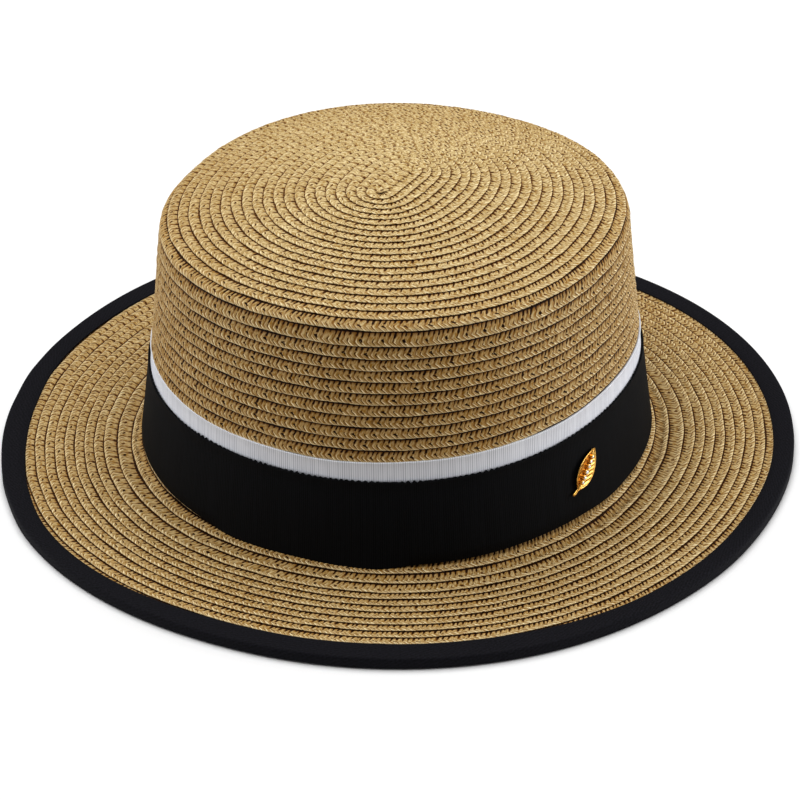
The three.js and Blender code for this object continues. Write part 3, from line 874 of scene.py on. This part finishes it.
def binding_profile():
    """The tape's section: outwards along its underside, up round the rim, in over the brim, then back inside.

    Rows of out, height and across, the distance along the tape from its lower edge.
    """
    low, high = RIM_OUT - BINDING_BELOW, RIM_OUT - BINDING_ABOVE
    turns = np.radians([0, 30, 60, 90])
    outside = [(low, 0.0), (low + 0.5 * BINDING_BELOW, 0.0), (RIM_OUT - 1.0 * MM, 0.0)]
    outside += [(RIM_OUT - 0.7 * MM * (1 - sin(a)), 0.7 * MM * (1 - cos(a))) for a in turns[1:]]
    outside += [(RIM_OUT, 0.5 * BINDING_TOP)]
    outside += [(RIM_OUT - BINDING_CREASE * (1 - cos(a)), BINDING_TOP - BINDING_CREASE * (1 - sin(a)))
                for a in turns]
    outside += [(RIM_OUT - 3 * MM, BINDING_TOP - 0.05 * MM), (RIM_OUT - 6 * MM, BINDING_TOP - 0.1 * MM)]
    outside += [(high + 0.4 * MM, BINDING_TOP - 0.12 * MM), (high + 0.05 * MM, BINDING_TOP - 0.3 * MM)]
    inside = [(high + 0.1 * MM, BINDING_TOP - TAPE), (RIM_OUT - 4 * MM, BINDING_TOP - TAPE)]
    inside += [(RIM_OUT - TAPE - 0.3 * MM, BINDING_TOP - TAPE), (RIM_OUT - TAPE, BINDING_TOP - TAPE - 0.4 * MM)]
    inside += [(RIM_OUT - TAPE, TAPE + 0.3 * MM), (RIM_OUT - TAPE - 0.4 * MM, TAPE), (low, TAPE)]
    run = lengths(outside)
    back = np.interp([out for out, _ in inside], [low, RIM_OUT - TAPE], [0, run[len(run) // 2]])
    back[:4] = run[-1] - np.array([0, 5, 9, 10]) * MM
    return [(*point, across) for point, across in zip(outside + inside, [*run, *back])]


def binding_waves(share, across, angle):
    """The tape is folded unevenly: its upper edge comes nearer to the rim in places."""
    at_top = BINDING_BELOW + BINDING_TOP
    upper = eased(across, at_top + 1 * MM, at_top + BINDING_ABOVE)
    return round_the_hat(angle, NARROWER) * MM * upper, 0 * share * across


# ---------------------------------------------------------------- the leaf pin
LEAF_ANGLE = radians(-18)
LEAF_HEIGHT = 24.6 * MM
LEAF_TURN = radians(-42)
LEAF_HALF = 8 * MM                    # half the blade's length
LEAF_SIDES = (6.3 * MM, 5.3 * MM)     # how far its two edge curves pull out, near foot and tip
BLADE_MIDDLE = 1.2 * MM               # height of the blade's face over the ribbon, on the midrib
BLADE_CUP = 0.5 * MM                  # its edges stand this much higher
BLADE_THICK = 0.55 * MM
VEIN_PITCH = 1.9 * MM
VEIN_HEIGHT = 0.16 * MM
RIB_AXIS = 1.25 * MM
STALK_LENGTH, STALK_BEND = 2.6 * MM, 1.2 * MM
POST_RADIUS, POST_END = 0.5 * MM, -7.5 * MM
CLUTCH_FRONT, CLUTCH_BACK = -4.2, -6.2    # in millimetres, out from the ribbon
# Stones: place along the leaf from its middle, and radius, in millimetres
STONES = [(-5.0, 0.6), (-3.1, 0.68), (-1.0, 0.75), (1.1, 0.68), (3.0, 0.6), (4.7, 0.5)]


def leaf_seat():
    """Origin and axes of the pin's seat on the ribbon: along it, up the wall and straight out."""
    def place(height, angle):
        return np.array([*oval_point(angle, BLACK_OUTER, height), height])
    along = unit(place(LEAF_HEIGHT, LEAF_ANGLE + 0.01) - place(LEAF_HEIGHT, LEAF_ANGLE - 0.01))
    rise = place(LEAF_HEIGHT + 1 * MM, LEAF_ANGLE) - place(LEAF_HEIGHT - 1 * MM, LEAF_ANGLE)
    outward = unit(np.cross(along, rise))
    return place(LEAF_HEIGHT, LEAF_ANGLE), np.stack([along, np.cross(outward, along), outward])


def seated(points):
    """Points given across the leaf, along it and out from the ribbon, as points of the hat."""
    across, up, out = points[..., 0], points[..., 1], points[..., 2]
    turned = joined(
        across * cos(LEAF_TURN) - up * sin(LEAF_TURN), across * sin(LEAF_TURN) + up * cos(LEAF_TURN), out)
    origin, axes = leaf_seat()
    return origin + turned @ axes


def bezier(share, a, b, c, d):
    """A cubic Bezier curve's value."""
    rest = 1 - share
    return a * rest ** 3 + 3 * b * share * rest ** 2 + 3 * c * share ** 2 * rest + d * share ** 3


def leaf_blade():
    """A pointed oval sheet: cupped, with a raised rim and slanting veins; its back is the face set in."""
    share = ((1 - np.cos(pi * np.linspace(0.02, 0.98, 72))) / 2)[:, None]
    half = bezier(share, 0, LEAF_SIDES[0], LEAF_SIDES[1], 0)
    up = bezier(share, -LEAF_HALF, -0.55 * LEAF_HALF, 0.35 * LEAF_HALF, LEAF_HALF)

    def face(side):
        across = side * half
        vein = (up - 1.1 * np.abs(across)) / VEIN_PITCH
        aside = np.abs(side)
        ridge = ((1 + np.cos(2 * pi * vein)) / 2) ** 3 * eased(aside, 0.1, 0.3) * (1 - eased(aside, 0.8, 0.95))
        rim = bump_shape(aside - 0.96, 0.05)
        arch = 0.35 * MM * (up / LEAF_HALF) ** 2
        out = BLADE_MIDDLE + BLADE_CUP * side ** 2 + VEIN_HEIGHT * ridge + 0.12 * MM * rim - arch
        return joined(across, up, out)

    top = face(np.linspace(-1, 1, 41)[None, :])
    back = face(np.linspace(1, -1, 17)[None, :])
    back[..., 2] -= BLADE_THICK
    return Tube(seated(np.concatenate([top, back], 1)))


def round_bar(route, radii, sides=12):
    """A round section carried along a route in the seat's frame, square to it."""
    ahead = unit(np.gradient(route, axis=0))
    side = unit(np.cross(ahead, (0, 0, 1)))
    over = np.cross(side, ahead)
    turn = full_circle(sides)[:, None]
    ring = np.cos(turn) * side[:, None] + np.sin(turn) * over[:, None]
    return route[:, None] + np.asarray(radii)[:, None, None] * ring


def leaf_midrib():
    """The midrib, thinning to the leaf's tip, that runs on past its foot as a bent stalk."""
    along = np.linspace(-LEAF_HALF - STALK_LENGTH, LEAF_HALF - 0.7 * MM, 60)
    past = np.clip(-LEAF_HALF + 1 * MM - along, 0, None) / (STALK_LENGTH + 1 * MM)
    route = joined(-STALK_BEND * past ** 2, along, RIB_AXIS - 0.3 * MM * (along / LEAF_HALF) ** 2)
    radii = np.interp(along, [along[0], -LEAF_HALF, 0, LEAF_HALF], [0.62 * MM, 0.5 * MM, 0.45 * MM, 0.25 * MM])
    ends = np.minimum((along - along[0]) / (0.5 * MM), (along[-1] - along) / (0.4 * MM))
    radii = radii * np.sqrt(1 - (1 - np.clip(ends, 0.02, 1)) ** 2)
    return Tube(seated(round_bar(route, radii)))


def turned_ring(profile, up=0.0, columns=24):
    """A closed section, rows of radius and height in millimetres, turned round the seat's outward axis."""
    radius, out = np.array(profile).T * MM
    turn = full_circle(columns)[:, None]
    return Tube(seated(joined(radius * np.cos(turn), up + radius * np.sin(turn), out)), wrap=True)


def leaf_setting(place, radius):
    """A rub-over cup for one stone."""
    section = [(radius + 0.05, 1.0), (radius + 0.3, 1.0), (radius + 0.3, 2.05), (radius + 0.22, 2.2),
               (radius + 0.1, 2.24), (radius + 0.03, 2.18), (radius + 0.03, 1.6)]
    return turned_ring(section, place * MM)


def pin_post():
    """The post behind the leaf, with a rounded end."""
    out = np.array([POST_END, POST_END + 0.15 * MM, POST_END + 0.5 * MM, BLADE_MIDDLE - 0.3 * MM])
    turn = full_circle(16)
    radius = POST_RADIUS * np.array([0.3, 0.8, 1, 1])[:, None]
    return Tube(seated(joined(radius * np.cos(turn), radius * np.sin(turn), out[:, None])))


def clutch_disc():
    """The clutch: a stamped disc with a rolled rim, a raised boss and a hole for the post."""
    front, back = CLUTCH_FRONT, CLUTCH_BACK
    section = [(0.8, front), (3.6, front), (3.9, front - 0.2), (4.0, front - 0.6), (3.85, front - 0.95),
               (3.4, front - 1.0), (3.1, front - 0.8), (2.2, front - 0.8), (1.9, back + 0.3), (1.6, back),
               (1.0, back), (0.8, back + 0.2)]
    return turned_ring(section, columns=48)


def main():
    """Registers the add-on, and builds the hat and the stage."""
    register()
    for build in (bpy.ops.boater.straw, bpy.ops.boater.ribbons, bpy.ops.boater.binding, bpy.ops.boater.pin,
                  bpy.ops.boater.stage):
        build()


def colour_setting(name, description, code):
    """A colour in the panel, given as its sRGB hex."""
    return bpy.props.FloatVectorProperty(
        name=name, description=description, size=4, subtype="COLOR", default=linear(code))


class BoaterStrawSettings(bpy.types.PropertyGroup):
    """Sizes and colours of the sewn braid."""

    cell_length: bpy.props.FloatProperty(
        name="Plait Cell", description="Length of one repeat of the plait", default=3.6 * MM, unit="LENGTH")
    straw_pale: colour_setting("Pale Straw", "Crowns of the strands", "#f0deac")
    straw_deep: colour_setting("Deep Straw", "Between the fibres", "#a67f38")
    # Painted shade where a strand turns down to its gap
    straw_round_shade: colour_setting("Rounded Straw", "Where a strand turns down to its gap", "#7c531a")
    # Painted shade: the tone that the straw of the wall and brim takes where it lies in shade
    straw_shaded_gold: colour_setting("Golden Straw", "What the deep rows of the wall and brim lean to", "#8c5f07")
    # Painted highlights where a strand rolls up beside its gap, and along the free edges
    straw_highlight: colour_setting("Streaks", "Where a strand rolls up beside its gap", "#fff0c8")
    # Painted shade at the borders of laps and gaps
    straw_shade_border: colour_setting("Brown Straw", "Borders of laps and gaps", "#6b4012")
    straw_shade: colour_setting("Straw Shade", "Depth of laps and gaps", "#241203")


class BoaterTrimSettings(bpy.types.PropertyGroup):
    """Colours of the ribbons, the binding and the pin."""

    black_face: colour_setting("Black Ribbon", "Crowns of its ribs", "#151619")
    # Painted shade between the black ribbon's ribs
    black_groove_shade: colour_setting("Black Ribbon Grooves", "Between its ribs", "#09090a")
    white_face: colour_setting("White Ribbon", "Crowns of its ribs", "#e4e6ec")
    # Painted shade between the white ribbon's ribs
    white_groove_shade: colour_setting("White Ribbon Grooves", "Between its ribs", "#c0c2ca")
    tape_colour: colour_setting("Binding", "Crowns of the twill", "#1c1b22")
    # Painted shade between the twill's ribs, and the darker yarn of the slubs
    tape_groove_shade_and_slubs: colour_setting("Binding Grooves", "Between the twill's ribs", "#08080c")
    gilt_colour: colour_setting("Gilt", "Gold plate", "#e4a63f")


class BoaterStageSettings(bpy.types.PropertyGroup):
    """Floor and lights."""

    floor_colour: colour_setting("Floor", "Colour of the floor", "#f4f4f4")
    sky: bpy.props.FloatProperty(name="Sky", description="Strength of the room's light", default=0.18)
    overhead: bpy.props.FloatProperty(name="Overhead", description="Radiance of the top softbox", default=2.69)
    side: bpy.props.FloatProperty(name="Sides", description="Radiance of the side softboxes", default=2.8)


class BOATER_OT_straw(bpy.types.Operator):
    """Sews the braid of the crown and the brim"""

    bl_idname = "boater.straw"
    bl_label = "Sew Straw Braid"

    def execute(self, context):
        settings = context.scene.boater_straw
        material = paper_braid(settings)
        braid = Braid(settings)
        start = FIRST_TURN
        for name, stop, columns, node in BRAID_PIECES:
            piece = braid_piece(braid, name, start, stop, columns, material)
            place_piece(piece, node)
            start = stop
        return {"FINISHED"}


class BOATER_OT_ribbons(bpy.types.Operator):
    """Wraps the white ribbon and the black one over it round the crown"""

    bl_idname = "boater.ribbons"
    bl_label = "Wrap Ribbons"

    def execute(self, context):
        settings = context.scene.boater_trim
        random = np.random.default_rng(41)
        black = grosgrain("black_grosgrain", settings.black_face, settings.black_groove_shade)
        white = grosgrain("white_grosgrain", settings.white_face, settings.white_groove_shade)
        for name, node, material, waves, (low, high, inner, outer, steps), flat_round in (
            ("black_ribbon", "ribbon_band", black, black_ribbon_waves,
             (BLACK_LOW, BLACK_HIGH, BLACK_INNER, BLACK_OUTER, 8), BLACK_ROUND),
            ("white_ribbon", "ribbon_edging", white, white_ribbon_waves,
             (WHITE_LOW, WHITE_HIGH, WHITE_INNER, WHITE_OUTER, 5), WHITE_ROUND),
        ):
            profile = ribbon_profile(low, high, inner, outer, steps)
            ribbon = make_piece(name, [band_tube(profile, RIBBON_COLUMNS, RIBBON_LAP, waves(random))], material)
            place_piece(ribbon, node)
        return {"FINISHED"}


class BOATER_OT_binding(bpy.types.Operator):
    """Folds the black tape round the rim"""

    bl_idname = "boater.binding"
    bl_label = "Bind Rim"

    def execute(self, context):
        tube = band_tube(binding_profile(), RIM_COLUMNS, RIM_LAP, binding_waves, on_wall=False)
        binding = make_piece("rim_tape", [tube], twill_tape(context.scene.boater_trim))
        place_piece(binding, "brim_binding")
        return {"FINISHED"}


class BOATER_OT_pin(bpy.types.Operator):
    """Makes the gilt leaf with its stones, post and clutch"""

    bl_idname = "boater.pin"
    bl_label = "Make Leaf Pin"

    def execute(self, context):
        gilt = polished_gilt(context.scene.boater_trim)
        parts = {
            "leaf_blade": [leaf_blade()],
            "leaf_midrib": [leaf_midrib()],
            "leaf_settings": [leaf_setting(*stone) for stone in STONES],
            "leaf_post": [pin_post()],
        }
        for name, tubes in parts.items():
            place_piece(make_piece(name, tubes, gilt), "leaf_ornament")
        place_piece(make_piece("clutch_disc", [clutch_disc()], plated_steel()), "pin_clutch")
        crystal = cut_crystal()
        for number in range(1, len(STONES) + 1):
            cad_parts[f"leaf_stone_{number}"].material_slots[0].material = crystal
        return {"FINISHED"}


FLOOR_HALF = 4.0
# Name, place, target, size in metres, the setting that gives its radiance and the share of it
SOFTBOXES = [
    ("overhead_softbox", (-0.12, 0.08, 1.4), (0, 0, 0), (1.52, 1.52), "overhead", 1.0),
    ("left_softbox", (-1.3, -0.5, 0.27), (0, 0, 0.05), (0.9, 0.5), "side", 1.45),
    ("right_softbox", (1.25, 0.6, 0.27), (0, 0, 0.05), (0.9, 0.5), "side", 2.2),
]
# Camera: turned right of the hat's front and raised, aimed near the foot of the crown
CAMERA_TURN = radians(26)
CAMERA_RAISED = radians(31.57)
CAMERA_ROLL = radians(-0.554)
CAMERA_DISTANCE = 1.155
CAMERA_AIM_ASIDE = 1.1 * MM
CAMERA_AIM_HEIGHT = 14.27 * MM
CAMERA_LENS = 141.08


def add_camera():
    """A camera on a sphere round its aim, rolled a little about its own axis."""
    aside = Vector((cos(CAMERA_TURN), sin(CAMERA_TURN), 0))
    away = Vector((sin(CAMERA_TURN), -cos(CAMERA_TURN), 0)) * cos(CAMERA_RAISED)
    back = away + Vector((0, 0, sin(CAMERA_RAISED)))
    up = back.cross(aside)
    right = aside * cos(CAMERA_ROLL) + up * sin(CAMERA_ROLL)
    up = up * cos(CAMERA_ROLL) - aside * sin(CAMERA_ROLL)
    aim = aside * CAMERA_AIM_ASIDE + Vector((0, 0, CAMERA_AIM_HEIGHT))
    data = bpy.data.cameras.new("camera")
    data.lens = CAMERA_LENS
    data.sensor_width = 36
    camera = bpy.data.objects.new("camera", data)
    bpy.context.scene.collection.objects.link(camera)
    turned = Matrix((right, up, back)).transposed().to_4x4()
    camera.matrix_world = Matrix.Translation(aim + back * CAMERA_DISTANCE) @ turned
    bpy.context.scene.camera = camera


def add_softbox(name, place, target, size, radiance):
    """A square area light that faces its target, with this radiance at its face."""
    data = bpy.data.lights.new(name, "AREA")
    data.shape = "RECTANGLE"
    data.size, data.size_y = size
    data.energy = radiance * pi * size[0] * size[1]
    light = bpy.data.objects.new(name, data)
    bpy.context.scene.collection.objects.link(light)
    light.visible_camera = False
    light.location = place
    light.rotation_euler = (Vector(target) - Vector(place)).to_track_quat("-Z", "Y").to_euler()


class BOATER_OT_stage(bpy.types.Operator):
    """Lays the floor and sets the lights and the camera"""

    bl_idname = "boater.stage"
    bl_label = "Set Stage"

    def execute(self, context):
        settings = context.scene.boater_stage
        mesh = bpy.data.meshes.new("floor")
        corners = [(x * FLOOR_HALF, y * FLOOR_HALF, 0) for x, y in ((-1, -1), (1, -1), (1, 1), (-1, 1))]
        mesh.from_pydata(corners, [], [(0, 1, 2, 3)])
        look = Surface("matt_paper_floor", Roughness=0.9, Base_Color=settings.floor_colour)
        mesh.materials.append(look.material)
        floor = bpy.data.objects.new("floor", mesh)
        context.scene.collection.objects.link(floor)
        world = bpy.data.worlds.new("studio")
        world.use_nodes = True
        sky = world.node_tree.nodes["Background"]
        sky.inputs["Color"].default_value = (1, 1, 1, 1)
        sky.inputs["Strength"].default_value = settings.sky
        context.scene.world = world
        for name, place, target, size, setting, share in SOFTBOXES:
            add_softbox(name, place, target, size, share * getattr(settings, setting))
        context.scene.view_settings.view_transform = "Standard"
        context.scene.view_settings.look = "Medium High Contrast"
        add_camera()
        return {"FINISHED"}


class BOATER_PT_panel(bpy.types.Panel):
    """The hat's makers and settings in the sidebar"""

    bl_label = "Straw Boater"
    bl_idname = "BOATER_PT_panel"
    bl_space_type = "VIEW_3D"
    bl_region_type = "UI"
    bl_category = "Boater"

    def draw(self, context):
        for title, group, operators in (
            ("Straw", context.scene.boater_straw, ("boater.straw",)),
            ("Trim", context.scene.boater_trim, ("boater.ribbons", "boater.binding", "boater.pin")),
            ("Stage", context.scene.boater_stage, ("boater.stage",)),
        ):
            box = self.layout.box()
            box.label(text=title)
            for setting in group.__annotations__:
                box.prop(group, setting)
            for operator in operators:
                box.operator(operator)


CLASSES = (
    BoaterStrawSettings,
    BoaterTrimSettings,
    BoaterStageSettings,
    BOATER_OT_straw,
    BOATER_OT_ribbons,
    BOATER_OT_binding,
    BOATER_OT_pin,
    BOATER_OT_stage,
    BOATER_PT_panel,
)


def register():
    for cls in CLASSES:
        bpy.utils.register_class(cls)
    bpy.types.Scene.boater_straw = bpy.props.PointerProperty(type=BoaterStrawSettings)
    bpy.types.Scene.boater_trim = bpy.props.PointerProperty(type=BoaterTrimSettings)
    bpy.types.Scene.boater_stage = bpy.props.PointerProperty(type=BoaterStageSettings)


def unregister():
    del bpy.types.Scene.boater_stage
    del bpy.types.Scene.boater_trim
    del bpy.types.Scene.boater_straw
    for cls in reversed(CLASSES):
        bpy.utils.unregister_class(cls)


if __name__ == "__main__":
    main()
